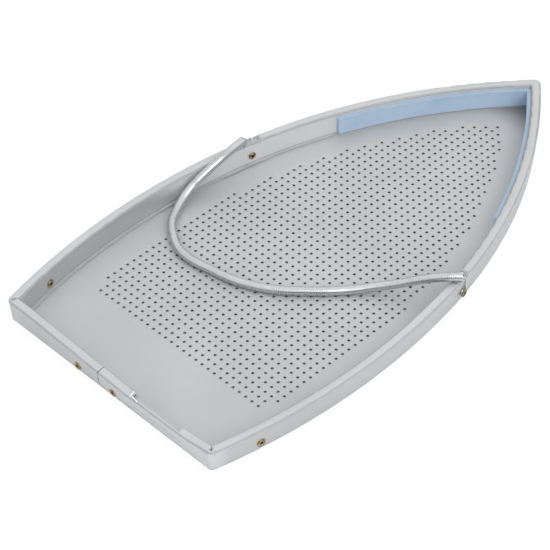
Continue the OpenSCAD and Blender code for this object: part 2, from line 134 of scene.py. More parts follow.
def outline(inset, step=3.0):
    """Closed loop of points at one inset, anticlockwise from the heel's left end."""
    heel_y = inset - HALF_L
    c, r = SIDE_C, SIDE_R - inset
    a = math.asin((heel_y - c.y) / r)
    right = []
    while a < JOIN_ANGLE:
        right.append(c + r * Vector((math.cos(a), math.sin(a))))
        a += step / r
    c, r = NOSE_C, NOSE_R - inset
    a, tip = JOIN_ANGLE, math.acos(-c.x / r)
    while a < tip - 0.3 * step / r:
        right.append(c + r * Vector((math.cos(a), math.sin(a))))
        a += step / r
    nose = Vector((0, c.y + r * math.sin(tip)))
    left = [Vector((-p.x, p.y)) for p in reversed(right)]
    half = right[0].x
    count = max(2, round(2 * half / step))
    heel = [Vector((-half + 2 * half * k / count, heel_y)) for k in range(1, count)]
    return right + [nose] + left + heel


def smoothstep(t):
    t = max(0.0, min(1.0, t))
    return t * t * (3 - 2 * t)


# How far the plate bows up between its clamped edges
BOW_ACROSS = 0.24
BOW_ALONG = 0.73
BOW_TWIST = 0.14
BOW_HALF_W = 49.0
BOW_HALF_L = 94.5
BOW_CLAMPED = 5.6
BOW_FREE = 16.5


def bow(x, y):
    u, v = (x - 0.3) / BOW_HALF_W, (y - 3.5) / BOW_HALF_L
    free = BOW_ACROSS * (1 - u * u) + (BOW_ALONG - BOW_TWIST * u * u) * (1 - v * v)
    return max(0.0, free) * smoothstep((inset_of(x, y) - BOW_CLAMPED) / (BOW_FREE - BOW_CLAMPED))


def new_object(name, verts, faces, material, smooth=True):
    mesh = bpy.data.meshes.new(name)
    mesh.from_pydata([Vector(v) * MM for v in verts], [], faces)
    mesh.validate()
    mesh.update()
    if smooth:
        mesh.shade_smooth()
    obj = bpy.data.objects.new(name, mesh)
    bpy.context.scene.collection.objects.link(obj)
    obj.data.materials.append(material)
    return obj


def sharpen(obj, degrees):
    """Smooth shading with sharp edges above an angle."""
    obj.data.shade_smooth()
    obj.data.set_sharp_from_angle(angle=math.radians(degrees))


def catmull(points, steps):
    """A smooth curve through points, with steps segments between two of them."""
    out = []
    for i in range(len(points) - 1):
        a, b, c, d = (Vector(points[max(0, min(len(points) - 1, i + k))]) for k in (-1, 0, 1, 2))
        for k in range(steps):
            t = k / steps
            out.append(
                0.5
                * (
                    2 * b
                    + (c - a) * t
                    + (2 * a - 5 * b + 4 * c - d) * t * t
                    + (3 * b - a - 3 * c + d) * t * t * t
                )
            )
    out.append(Vector(points[-1]))
    return out


def even(points, step):
    """The same curve with points at even distances."""
    lengths = [0.0]
    for p, q in zip(points, points[1:]):
        lengths.append(lengths[-1] + (q - p).length)
    count = max(2, round(lengths[-1] / step))
    out, i = [], 0
    for k in range(count + 1):
        want = lengths[-1] * k / count
        while i < len(points) - 2 and lengths[i + 1] < want:
            i += 1
        share = (want - lengths[i]) / max(1e-9, lengths[i + 1] - lengths[i])
        out.append(points[i].lerp(points[i + 1], min(1.0, share)))
    return out


def carried_frames(points, up):
    """Tangent, normal and side at each point, carried along without twist."""
    frames, n = [], Vector(up)
    for i in range(len(points)):
        t = (points[min(len(points) - 1, i + 1)] - points[max(0, i - 1)]).normalized()
        n = (n - t * n.dot(t)).normalized()
        frames.append((t, n, t.cross(n)))
    return frames


def tube(points, radius, sides, up=(0, 0, 1)):
    """Vertices and faces of a round tube with rounded ends along points."""
    verts, faces = [], []
    frames = carried_frames(points, up)
    rings = [(points[0] - frames[0][0] * radius * 0.7, frames[0], 0.55 * radius)]
    rings += [(p, f, radius) for p, f in zip(points, frames)]
    rings.append((points[-1] + frames[-1][0] * radius * 0.7, frames[-1], 0.55 * radius))
    for p, (t, n, b), r in rings:
        for k in range(sides):
            a = 2 * math.pi * k / sides
            verts.append(p + (n * math.cos(a) + b * math.sin(a)) * r)
    for i in range(len(rings) - 1):
        for k in range(sides):
            m = (k + 1) % sides
            faces.append((i * sides + k, i * sides + m, (i + 1) * sides + m, (i + 1) * sides + k))
    faces.append(tuple(range(sides - 1, -1, -1)))
    last = (len(rings) - 1) * sides
    faces.append(tuple(last + k for k in range(sides)))
    return verts, faces


def material(name):
    mat = bpy.data.materials.new(name)
    mat.use_nodes = True
    nodes = mat.node_tree.nodes
    return mat, nodes, mat.node_tree.links, nodes["Principled BSDF"]


def noise(nodes, links, scale, detail, stretch=(1, 1, 1), rough=0.5):
    """Noise over the object's own coordinates, in cycles a metre, stretched along an axis."""
    coords = nodes.new("ShaderNodeTexCoord")
    mapping = nodes.new("ShaderNodeMapping")
    mapping.inputs["Scale"].default_value = stretch
    tex = nodes.new("ShaderNodeTexNoise")
    tex.inputs["Scale"].default_value = scale
    tex.inputs["Detail"].default_value = detail
    tex.inputs["Roughness"].default_value = rough
    links.new(coords.outputs["Object"], mapping.inputs["Vector"])
    links.new(mapping.outputs["Vector"], tex.inputs["Vector"])
    return tex.outputs["Fac"]


def ramp(nodes, links, source, low, high, at=(0.35, 0.65)):
    """A colour that goes from low to high as source goes over the two places in at."""
    r = nodes.new("ShaderNodeValToRGB")
    r.color_ramp.elements[0].position, r.color_ramp.elements[1].position = at
    r.color_ramp.elements[0].color = (*low, 1)
    r.color_ramp.elements[1].color = (*high, 1)
    links.new(source, r.inputs["Fac"])
    return r.outputs["Color"]


def between(nodes, links, source, low, high):
    """A number that follows a 0 to 1 source between low and high."""
    m = nodes.new("ShaderNodeMapRange")
    m.inputs["From Min"].default_value = 0.3
    m.inputs["From Max"].default_value = 0.7
    m.inputs["To Min"].default_value = low
    m.inputs["To Max"].default_value = high
    links.new(source, m.inputs["Value"])
    return m.outputs["Result"]


def bumps(nodes, links, bsdf, layers):
    """Bump from several heights: (source, distance in metres, strength)."""
    normal = None
    for source, distance, strength in layers:
        b = nodes.new("ShaderNodeBump")
        b.inputs["Distance"].default_value = distance
        b.inputs["Strength"].default_value = strength
        links.new(source, b.inputs["Height"])
        if normal:
            links.new(normal, b.inputs["Normal"])
        normal = b.outputs["Normal"]
    links.new(normal, bsdf.inputs["Normal"])


def bend_share(nodes, links):
    """1 where the surface is halfway between level and upright, 0 where it is either."""
    coords = nodes.new("ShaderNodeTexCoord")
    parts = nodes.new("ShaderNodeSeparateXYZ")
    links.new(coords.outputs["Normal"], parts.inputs[0])
    up = nodes.new("ShaderNodeMath")
    up.operation = "ABSOLUTE"
    links.new(parts.outputs["Z"], up.inputs[0])
    low = nodes.new("ShaderNodeMapRange")
    low.interpolation_type = "SMOOTHSTEP"
    low.inputs["From Min"].default_value = 0.12
    low.inputs["From Max"].default_value = 0.45
    high = nodes.new("ShaderNodeMapRange")
    high.interpolation_type = "SMOOTHSTEP"
    high.inputs["From Min"].default_value = 0.995
    high.inputs["From Max"].default_value = 0.9
    both = nodes.new("ShaderNodeMath")
    both.operation = "MULTIPLY"
    links.new(up.outputs[0], low.inputs["Value"])
    links.new(up.outputs[0], high.inputs["Value"])
    links.new(low.outputs["Result"], both.inputs[0])
    links.new(high.outputs["Result"], both.inputs[1])
    return both.outputs[0]


def along(nodes, links, axis, start, end, low, high):
    """A number that goes from low to high between two places on one of the object's axes."""
    coords = nodes.new("ShaderNodeTexCoord")
    parts = nodes.new("ShaderNodeSeparateXYZ")
    links.new(coords.outputs["Object"], parts.inputs[0])
    m = nodes.new("ShaderNodeMapRange")
    m.interpolation_type = "SMOOTHSTEP"
    m.inputs["From Min"].default_value = start
    m.inputs["From Max"].default_value = end
    m.inputs["To Min"].default_value = low
    m.inputs["To Max"].default_value = high
    links.new(parts.outputs[axis], m.inputs["Value"])
    return m.outputs["Result"]


def by_level(nodes, links, upright, level):
    """A number that takes one value on upright faces and another on level ones."""
    coords = nodes.new("ShaderNodeTexCoord")
    parts = nodes.new("ShaderNodeSeparateXYZ")
    links.new(coords.outputs["Normal"], parts.inputs[0])
    steep = nodes.new("ShaderNodeMath")
    steep.operation = "ABSOLUTE"
    links.new(parts.outputs["Z"], steep.inputs[0])
    m = nodes.new("ShaderNodeMapRange")
    m.inputs["From Min"].default_value = 0.3
    m.inputs["From Max"].default_value = 0.8
    m.inputs["To Min"].default_value = upright
    m.inputs["To Max"].default_value = level
    links.new(steep.outputs[0], m.inputs["Value"])
    return m.outputs["Result"]


def painted_wall_light_and_shade(nodes, links, shaded, wall_shade):
    """Painted light and shade on upright faces: the left ones darker at the heel and lighter to the nose, the
    heel strip's lighter.
    """
    coords = nodes.new("ShaderNodeTexCoord")
    parts = nodes.new("ShaderNodeSeparateXYZ")
    links.new(coords.outputs["Normal"], parts.inputs[0])
    level = nodes.new("ShaderNodeMath")
    level.operation = "ABSOLUTE"
    links.new(parts.outputs["Z"], level.inputs[0])
    upright = nodes.new("ShaderNodeMapRange")
    upright.inputs["From Min"].default_value = 0.1
    upright.inputs["From Max"].default_value = 0.3
    links.new(level.outputs[0], upright.inputs["Value"])
    left = along(nodes, links, "Y", -0.065, -0.01, wall_shade, 1.34)
    heel = along(nodes, links, "Y", -0.121, -0.115, 1.16, 1.0)
    side = nodes.new("ShaderNodeMapRange")
    places = nodes.new("ShaderNodeSeparateXYZ")
    links.new(coords.outputs["Object"], places.inputs[0])
    side.inputs["From Min"].default_value = -0.01
    side.inputs["From Max"].default_value = 0.01
    side.inputs["To Max"].default_value = 0.98
    links.new(places.outputs["X"], side.inputs["Value"])
    links.new(left, side.inputs["To Min"])
    both = nodes.new("ShaderNodeMath")
    both.operation = "MULTIPLY"
    links.new(side.outputs["Result"], both.inputs[0])
    links.new(heel, both.inputs[1])
    links.new(both.outputs[0], upright.inputs["To Min"])
    upright.inputs["To Max"].default_value = 1.0
    darker = nodes.new("ShaderNodeMath")
    darker.operation = "MULTIPLY"
    links.new(shaded.outputs[0], darker.inputs[0])
    links.new(upright.outputs["Result"], darker.inputs[1])
    return darker


def sheet_metal(name, low, high, rough, grain, metallic, painted_shade_ramp, bend_shade=1.0, wall_shade=1.0, hole_shade=1.0):
    """Satin aluminium: fine rolling grain, cloudy tarnish, shallow handling marks, rougher scuffed bends,
    painted shade on the bends and along one axis, and painted light and shade on upright faces."""
    mat, nodes, links, bsdf = material(name)
    bsdf.inputs["Metallic"].default_value = metallic
    cloud = noise(nodes, links, 22, 3)
    bend = bend_share(nodes, links)
    # painted shade: the bends are darkened to bend_shade
    shade = nodes.new("ShaderNodeMapRange")
    shade.inputs["To Min"].default_value = 1.0
    shade.inputs["To Max"].default_value = bend_shade
    links.new(bend, shade.inputs["Value"])
    shaded = nodes.new("ShaderNodeMath")
    shaded.operation = "MULTIPLY"
    links.new(shade.outputs["Result"], shaded.inputs[0])
    # painted shade, darker towards one end of one axis
    links.new(along(nodes, links, *painted_shade_ramp), shaded.inputs[1])
    # painted light and shade on the upright walls
    if wall_shade < 1:
        shaded = painted_wall_light_and_shade(nodes, links, shaded, wall_shade)
    # painted shade: upright faces, chiefly the hole walls, darkened to hole_shade
    if hole_shade < 1:
        holes = nodes.new("ShaderNodeMath")
        holes.operation = "MULTIPLY"
        links.new(shaded.outputs[0], holes.inputs[0])
        links.new(by_level(nodes, links, hole_shade, 1.0), holes.inputs[1])
        shaded = holes
    scaled = nodes.new("ShaderNodeVectorMath")
    scaled.operation = "SCALE"
    links.new(ramp(nodes, links, cloud, low, high), scaled.inputs[0])
    links.new(shaded.outputs[0], scaled.inputs["Scale"])
    links.new(scaled.outputs["Vector"], bsdf.inputs["Base Color"])
    smear = noise(nodes, links, 60, 4, grain)
    scuffed = nodes.new("ShaderNodeMath")
    scuffed.operation = "MULTIPLY_ADD"
    scuffed.inputs[1].default_value = 0.3
    links.new(bend, scuffed.inputs[0])
    links.new(between(nodes, links, smear, rough - 0.05, rough + 0.06), scuffed.inputs[2])
    links.new(scuffed.outputs[0], bsdf.inputs["Roughness"])
    fine = noise(nodes, links, 900, 2, grain)
    dents = noise(nodes, links, 35, 1)
    bumps(nodes, links, bsdf, [(fine, 0.00002, 0.35), (dents, 0.0006, 0.12)])
    return mat


def plate_metal():
    # painted shade: the plate darkens to half towards the nose corner, its upright hole walls to 0.4
    return sheet_metal(
        "plate_satin", (0.465, 0.471, 0.478), (0.505, 0.511, 0.518), 0.54, (1, 6, 1), 0.2,
        painted_shade_ramp=("Y", 0.099, 0.115, 1.0, 0.5), hole_shade=0.4,
    )


def rim_metal():
    # painted shade on the bends and at the wall foot near the plate, painted light and shade on the walls
    return sheet_metal(
        "rim_satin", (0.56, 0.566, 0.573), (0.605, 0.612, 0.619), 0.44, (1, 1, 5), 0.6,
        bend_shade=0.82, painted_shade_ramp=("Z", 0.0021, 0.0036, 0.84, 1.0), wall_shade=0.88,
    )


def torn_metal_glint():
    """The bare metal of a torn edge: partly its own brighter colour, partly a painted glint."""
    mat, nodes, links, bsdf = material("torn_edge_glint")
    bsdf.inputs["Metallic"].default_value = 0.2
    bsdf.inputs["Roughness"].default_value = 0.3
    scratch = noise(nodes, links, 2500, 2, (1, 1, 4))
    links.new(ramp(nodes, links, scratch, (0.85, 0.85, 0.85), (0.95, 0.95, 0.95)), bsdf.inputs["Base Color"])
    bumps(nodes, links, bsdf, [(scratch, 0.00005, 0.3)])
    return mat


def slip_sheet():
    mat, nodes, links, bsdf = material("slip_sheet_smooth")
    cloud = noise(nodes, links, 40, 3)
    links.new(ramp(nodes, links, cloud, (0.6, 0.595, 0.58), (0.66, 0.655, 0.64)), bsdf.inputs["Base Color"])
    bsdf.inputs["Roughness"].default_value = 0.45
    bumps(nodes, links, bsdf, [(noise(nodes, links, 500, 2), 0.00003, 0.3)])
    return mat


def liner_blue():
    mat, nodes, links, bsdf = material("liner_blue")
    cloud = noise(nodes, links, 60, 3)
    scaled = nodes.new("ShaderNodeVectorMath")
    scaled.operation = "SCALE"
    links.new(ramp(nodes, links, cloud, (0.365, 0.485, 0.625), (0.42, 0.545, 0.68)), scaled.inputs[0])
    # painted light and shade: upright faces 1.12 times lighter, level ones such as the top edge 0.84 darker
    links.new(by_level(nodes, links, 1.12, 0.84), scaled.inputs["Scale"])
    links.new(scaled.outputs["Vector"], bsdf.inputs["Base Color"])
    bsdf.inputs["Roughness"].default_value = 0.42
    bumps(nodes, links, bsdf, [(noise(nodes, links, 700, 2), 0.00003, 0.4)])
    return mat


def spring_steel():
    mat, nodes, links, bsdf = material("spring_wire")
    bsdf.inputs["Metallic"].default_value = 1.0
    cloud = noise(nodes, links, 90, 2)
    links.new(ramp(nodes, links, cloud, (0.6, 0.605, 0.61), (0.66, 0.665, 0.67)), bsdf.inputs["Base Color"])
    links.new(between(nodes, links, cloud, 0.25, 0.3), bsdf.inputs["Roughness"])
    return mat


def rivet_brass():
    mat, nodes, links, bsdf = material("rivet_brass")
    bsdf.inputs["Metallic"].default_value = 1.0
    cloud = noise(nodes, links, 700, 3)
    links.new(ramp(nodes, links, cloud, (0.17, 0.12, 0.07), (0.46, 0.36, 0.22)), bsdf.inputs["Base Color"])
    links.new(between(nodes, links, cloud, 0.3, 0.5), bsdf.inputs["Roughness"])
    bumps(nodes, links, bsdf, [(cloud, 0.0001, 0.4)])
    return mat


def hole_places():
    rows = int((2 * HALF_L - HEEL_MARGIN) // HOLE_PITCH)
    for row in range(rows + 1):
        y = HEEL_MARGIN - HALF_L + row * HOLE_PITCH
        last = HOLE_COLUMNS - 1 if row < SHORT_ROWS else HOLE_COLUMNS
        for i in range(-last, last + 1):
            if side_inset(abs(i) * HOLE_PITCH, y) >= HOLE_MARGIN:
                yield Vector((HOLE_SHIFT + i * HOLE_PITCH, y))


def perforated_sheet(edge_inset, top, thick, shape, sides=16, rounding=0.1):
    """Vertices and faces of the flat part. shape(x, y) lifts it, and each hole has a small round
    at the top."""
    points, loops = [], []

    def add_loop(loop):
        loops.append(list(range(len(points), len(points) + len(loop))))
        points.extend(loop)

    add_loop(outline(edge_inset))
    holes = list(hole_places())
    ring = [Vector((math.cos(2 * math.pi * k / sides), math.sin(2 * math.pi * k / sides)))
            for k in range(sides)]
    for c in holes:
        add_loop([c + v * (HOLE_D / 2 + rounding) for v in ring])
    for inset in (6.5, 9.5, 12.5):
        points.extend(outline(inset, 3.2)[::1])
    taken = {(round(c.x, 1), round(c.y, 1)) for c in holes}
    row_y = HEEL_MARGIN - HALF_L
    for j in range(-20, 160):
        for i in range(-44, 45):
            x = HOLE_SHIFT + i * HOLE_PITCH / 2
            y = row_y + j * HOLE_PITCH / 2
            if (i + j) % 2 or inset_of(x, y) < 14.2:
                continue
            if (round(x, 1), round(y, 1)) not in taken:
                points.append(Vector((x, y)))
    flat, _, tris, _, _, origins = delaunay_2d_cdt(points, [], loops, 1, 1e-5)
    solid = [t for t, o in zip(tris, origins) if not any(k > 0 for k in o)]

    # border vertices: the outline's loop and the holes' loops, found again by place
    index = {(round(p.x, 3), round(p.y, 3)): k for k, p in enumerate(flat)}
    n = len(flat)
    verts = [Vector((p.x, p.y, top + shape(p.x, p.y))) for p in flat]
    verts += [Vector((p.x, p.y, top - thick + shape(p.x, p.y))) for p in flat]
    faces = []
    for a, b, c in solid:
        faces.append((a, b, c))
        faces.append((n + a, n + c, n + b))

    def at(p):
        return index[(round(p.x, 3), round(p.y, 3))]

    edge = [at(points[k]) for k in loops[0]]
    for a, b in zip(edge, edge[1:] + edge[:1]):
        faces.append((a, n + a, n + b, b))
    for c, loop in zip(holes, loops[1:]):
        rim_ids = [at(points[k]) for k in loop]
        wall = len(verts)
        lift = shape(c.x, c.y)
        for r, z in ((HOLE_D / 2 + 0.03, top - 0.03), (HOLE_D / 2, top - rounding)):
            verts += [Vector((c.x + v.x * r, c.y + v.y * r, z + lift)) for v in ring]
        for k in range(sides):
            m = (k + 1) % sides
            faces.append((rim_ids[m], rim_ids[k], wall + k, wall + m))
            faces.append((wall + m, wall + k, wall + sides + k, wall + sides + m))
            faces.append((wall + sides + m, wall + sides + k, n + rim_ids[k], n + rim_ids[m]))
    return verts, faces


def turned_edge(r_out, r_in, inset, axis_z, top):
    """Section of a turned-up edge: (inset, z) of its corners, anticlockwise."""
    loop = []
    for k in range(9):
        a = math.radians(-90 + 90 * k / 8)
        loop.append((inset - r_out * math.cos(a), axis_z + r_out * math.sin(a)))
    loop += [(inset - r_out, top), (inset - r_in, top)]
    for k in range(7):
        a = math.radians(-90 * k / 6)
        loop.append((inset - r_in * math.cos(a), axis_z + r_in * math.sin(a)))
    return loop


def swept(section, stations):
    """A section swept over stations of (point, outward normal), with flat ends."""
    verts, faces = [], []
    for p, n in stations:
        verts += [Vector((p.x - n.x * i, p.y - n.y * i, z)) for i, z in section]
    size = len(section)
    for s in range(len(stations) - 1):
        for k in range(size):
            m = (k + 1) % size
            faces.append((s * size + k, (s + 1) * size + k, (s + 1) * size + m, s * size + m))
    faces.append(tuple(range(size)))
    last = (len(stations) - 1) * size
    faces.append(tuple(last + k for k in range(size - 1, -1, -1)))
    return verts, faces


def side_stations(side, y0, y1, step=3.0):
    count = round((y1 - y0) / step)
    out = []
    for k in range(count + 1):
        p, n = edge_point(y0 + (y1 - y0) * k / count)
        out.append((Vector((side * p.x, p.y)), Vector((side * n.x, n.y))))
    return out


def heel_stations(half):
    return [(Vector((x, -HALF_L)), Vector((0, -1))) for x in (-half, half)]


def join(parts):
    verts, faces = [], []
    for v, f in parts:
        base = len(verts)
        verts += v
        faces += [tuple(base + k for k in face) for face in f]
    return verts, faces


def make_plate():
    section = turned_edge(
        PLATE_BEND + PLATE_SHEET, PLATE_BEND, BEND_INSET, PLATE_TOP + PLATE_BEND, FLANGE_TOP
    )
    y0, y1 = -HALF_L + CORNER_RELIEF + 3, HALF_L - NOSE_ROUNDING - CORNER_RELIEF
    parts = [perforated_sheet(BEND_INSET - 0.05, PLATE_TOP, PLATE_SHEET, bow)]
    parts += [swept(section, side_stations(s, y0, y1)) for s in (-1, 1)]
    heel_half = edge_point(-HALF_L + 3)[0].x - CORNER_RELIEF - 5
    parts.append(swept(section, heel_stations(heel_half)))
    obj = new_object("plate_pan", *join(parts), plate_metal())
    fix_normals(obj)
    sharpen(obj, 40)
    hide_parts("base_plate")
    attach(obj, "root")
    return obj


def fix_normals(obj):
    import bmesh

    bm = bmesh.new()
    bm.from_mesh(obj.data)
    bmesh.ops.recalc_face_normals(bm, faces=bm.faces)
    bm.to_mesh(obj.data)
    bm.free()


# The spring: its route, in percent from the middle to the inner wall, mm ahead of its
# rivets, and percent of the rise from the plate to the rim's top
REST_Z = PLATE_TOP + COIL_D / 2 + COIL_AIR
END_Z = RIM_TOP + COIL_D / 2 + COIL_LIFT
WOUND_D = 3.7
COIL_PITCH = 0.72
WIRE_STEPS = 22
COIL_ROUTE = [
    (-103.1, -3.6, 100), (-100.2, -9.3, 100), (-96.6, -16.6, 99), (-95.8, -23.2, 80),
    (-96, -29.4, 53), (-96.2, -33.6, 30), (-94.4, -38.7, 11), (-89.7, -45, 0),
    (-82.5, -51.4, 0), (-72, -56.5, 0), (-60.3, -60.3, 0), (-46.8, -61.1, 0),
    (-32.9, -59.7, 0), (-16.7, -57.8, 0), (-3, -54.5, 0), (10.2, -49.8, 0),
    (22.4, -43.4, 0), (34, -36.5, 0), (44.8, -29.2, 0), (56.5, -21.8, 12),
    (70.2, -15.7, 40), (79, -12.3, 63), (87.9, -8.8, 85), (97.8, -4.5, 99),
    (106.7, -0.1, 100),
]
# Section of the wire in the coil: out from the coil's axis, and along it. It is a little flat.
FLAT_WIRE = [
    (0.35, 0.0),
    (0.35, 0.27),
    (0.341, 0.338),
    (0.2, 0.36),
    (-0.3, 0.34),
    (-0.35, 0.0),
    (-0.3, -0.34),
    (0.2, -0.36),
    (0.341, -0.338),
    (0.35, -0.27),
]


def route_point(share, ahead, rise):
    y = SPRING_RIVET_Y + ahead
    inner = edge_point(y)[0].x - RIM_WEB
    return Vector((inner * share / 100, y, REST_Z + (END_Z - REST_Z) * rise / 100))


def lean_inset(z):
    """How far the outer leg's face lies inside the outline at height z."""
    drop = RIM_TOP - RIM_BEND - RIM_BEND * math.sin(RIM_LEAN) - z
    return RIM_BEND * (1 - math.cos(RIM_LEAN)) + max(0, drop) * math.tan(RIM_LEAN)


def wall_point(side, out, along, z):
    """A point beside a spring rivet: out from the wall, along it towards the nose, at height z."""
    p, n = edge_point(SPRING_RIVET_Y)
    return Vector((side * (p.x + out * n.x - along * n.y), p.y + out * n.y + along * n.x, z))


def hook(side):
    """Points of the wire from the coil's end over the rim to its eye round the rivet."""
    eye_r = RIVET_SHANK / 2 + WIRE_D / 2 + 0.1
    eye_out = WIRE_D / 2 + 0.07 - lean_inset(SPRING_RIVET_Z + eye_r + WIRE_D / 2)
    if side < 0:
        over = [
            route_point(-103.9, -1.5, 92),
            wall_point(-1, -1.6, eye_r - 0.2, RIM_TOP + 0.6),
            wall_point(-1, 0, eye_r, POCKET_FLOOR + WIRE_D / 2 + 0.25),
        ]
    else:
        over = [wall_point(1, 0, 1, RIM_TOP + 1.3), wall_point(1, 0.3, eye_r - 0.1, RIM_TOP + 0.4)]
    down = [wall_point(side, WIRE_D / 2 + 0.1, eye_r, POCKET_FLOOR - 0.4)]
    eye = []
    for k in range(14):
        a = math.radians(-20 - 20 * k)
        eye.append(wall_point(side, eye_out, eye_r * math.cos(a), SPRING_RIVET_Z + eye_r * math.sin(a)))
    return over + down + eye


def wire_mesh(points, frames, share):
    """A wire whose section turns from round to FLAT_WIRE as share goes from 0 to 1."""
    verts, faces = [], []
    size = len(FLAT_WIRE)
    for i, (p, (t, n, b)) in enumerate(zip(points, frames)):
        end = 0.6 if i in (0, len(points) - 1) else 1.0
        for u, w in FLAT_WIRE:
            a = math.atan2(w, u)
            u = u * share[i] + WIRE_D / 2 * math.cos(a) * (1 - share[i])
            w = w * share[i] + WIRE_D / 2 * math.sin(a) * (1 - share[i])
            verts.append(p + (n * u + b * w) * end)
    for i in range(len(points) - 1):
        for k in range(size):
            m = (k + 1) % size
            faces.append((i * size + k, i * size + m, (i + 1) * size + m, (i + 1) * size + k))
    last = (len(points) - 1) * size
    faces.append(tuple(range(size - 1, -1, -1)))
    faces.append(tuple(last + k for k in range(size)))
    return verts, faces


def make_spring():
    lifted = [route_point(*row) for row in COIL_ROUTE]
    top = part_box("hold_spring")[1][2] / MM - WOUND_D / 2 - 0.15
    lifted = [Vector((p.x, p.y, min(top, p.z + bow(p.x, p.y)))) for p in lifted]
    axis = even(catmull(lifted, 12), COIL_PITCH / WIRE_STEPS)
    frames = carried_frames(axis, (0, 0, 1))
    r = (WOUND_D - WIRE_D) / 2
    turn = 2 * math.pi / WIRE_STEPS
    spokes = [
        n * math.cos(k * turn) + b * math.sin(k * turn) for k, (_, n, b) in enumerate(frames)
    ]
    coil = [p + spoke * r for p, spoke in zip(axis, spokes)]
    left = even(catmull([coil[0]] + hook(-1), 6), 0.35)[1:]
    right = even(catmull([coil[-1]] + hook(1), 6), 0.35)[1:]
    wire = list(reversed(left)) + coil + right
    first, count = len(left), len(coil)
    share = [1.0 if first <= i < first + count else 0.0 for i in range(len(wire))]
    tangents = [
        (wire[min(len(wire) - 1, i + 1)] - wire[max(0, i - 1)]).normalized()
        for i in range(len(wire))
    ]
    across = [None] * len(wire)
    for k, spoke in enumerate(spokes):
        across[first + k] = spoke
    for i in list(range(first - 1, -1, -1)) + list(range(first + count, len(wire))):
        across[i] = across[i + 1] if i < first else across[i - 1]
        across[i] = (across[i] - tangents[i] * across[i].dot(tangents[i])).normalized()
    wire_frames = []
    for t, n in zip(tangents, across):
        n = (n - t * n.dot(t)).normalized()
        wire_frames.append((t, n, t.cross(n)))
    obj = new_object("coil_spring", *wire_mesh(wire, wire_frames, share), spring_steel())
    sharpen(obj, 40)
    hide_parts("hold_spring")
    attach(obj, "root")
    return obj


# Wear of the heel strip: how far its top has sunk at a place along the heel
SAG = [(-46, 0), (-30, 0.8), (-10, 1.75), (12, 2.9), (22, 2.3), (44, 2.1), (57, 0)]
SAG_HEIGHT = (3.0, 12.3)
HEEL_STRIP_Y = -116.0
CREASE_Z = 6.3


def straight_sag(x):
    for (x0, a), (x1, b) in zip(SAG, SAG[1:]):
        if x0 <= x <= x1:
            return a + (b - a) * (x - x0) / (x1 - x0)
    return 0.0


def sag(x):
    return (straight_sag(x - 3) + 2 * straight_sag(x) + straight_sag(x + 3)) / 4


def worn(p):
    """Where a point of the new rim lies on the worn one. Only the heel strip has moved."""
    x, y, z = p
    if y > HEEL_STRIP_Y:
        return p
    low, high = SAG_HEIGHT
    near = smoothstep((HEEL_STRIP_Y - y) / 2)
    height = max(0.0, min(1.0, (z - low) / (high - low)))
    down = sag(x) * height * near
    out = 0.0
    if y < -122 and 2 < z < 11.4:
        out = 0.09 * sag(x) * math.sin(math.pi * (z - 2) / 9.4)
        beside = smoothstep((x - 12) / 8) * smoothstep((46 - x) / 8)
        out -= 0.3 * beside * math.exp(-((z - CREASE_Z) / 0.7) ** 2)
    return Vector((x, y - out, z - down))


def flat_normals(obj):
    """Shades flat faces flat and the narrow bends between them smooth."""
    weighted = obj.modifiers.new("weighted", "WEIGHTED_NORMAL")
    weighted.weight = 100
    weighted.keep_sharp = True
    bpy.context.view_layer.update()
    seen = obj.evaluated_get(bpy.context.evaluated_depsgraph_get())
    mesh = bpy.data.meshes.new_from_object(seen)
    obj.modifiers.clear()
    obj.data = mesh


def pocket_ramp(side):
    """The pressed slope from a pocket's floor up to the web, at the pocket's nose end."""
    half = POCKET_LENGTH / 2
    y = SPRING_RIVET_Y + POCKET_AHEAD
    p, n = edge_point(y)
    along = Vector((-n.y, n.x))
    verts, faces = [], []
    steps = 6
    for inset in (RIM_BEND + 0.02, RIM_WEB - 0.1):
        for k in range(steps + 1):
            share = k / steps
            place = p - n * inset + along * (half - RAMP_LENGTH + (RAMP_LENGTH + 0.06) * share)
            rise = smoothstep(share)
            top = POCKET_FLOOR + (RIM_TOP - POCKET_FLOOR - 0.02) * rise
            verts.append(Vector((side * place.x, place.y, top)))
            verts.append(Vector((side * place.x, place.y, top - 0.5)))
    row = 2 * (steps + 1)
    for k in range(steps):
        a, b = 2 * k, 2 * k + 2
        faces += [(a, b, row + b, row + a), (a + 1, row + a + 1, row + b + 1, b + 1)]
        faces += [(a, a + 1, b + 1, b), (row + a, row + b, row + b + 1, row + a + 1)]
    faces += [(0, row, row + 1, 1), (row - 2, row - 1, 2 * row - 1, 2 * row - 2)]
    return verts, faces


def torn_lip():
    """The sliver that was left bent up where the heel's cut-out begins."""
    verts, faces = [], []
    steps = 6
    for k in range(steps + 1):
        t = k / steps
        x = 15.1 + 4.6 * t
        base = 9.3 - 1.9 * smoothstep(t)
        height = 1.9 * (1 - t) ** 0.6 + 0.15
        for j in range(5):
            u = j / 4
            y = -123.0 - 0.8 * math.sin(u * math.pi / 2) * (1 - 0.6 * t)
            z = base + height * u
            verts.append(Vector((x, y, z)))
            verts.append(Vector((x, y + 0.22, z + 0.05)))
    for k in range(steps):
        for j in range(4):
            a = 10 * k + 2 * j
            faces.append((a, a + 2, a + 12, a + 10))
            faces.append((a + 1, a + 11, a + 13, a + 3))
        a = 10 * k
        faces.append((a, a + 10, a + 11, a + 1))
        faces.append((a + 8, a + 9, a + 19, a + 18))
    for k in (0, steps):
        a = 10 * k
        faces += [(a + 2 * j, a + 2 * j + 1, a + 2 * j + 3, a + 2 * j + 2) for j in range(4)]
    return verts, faces


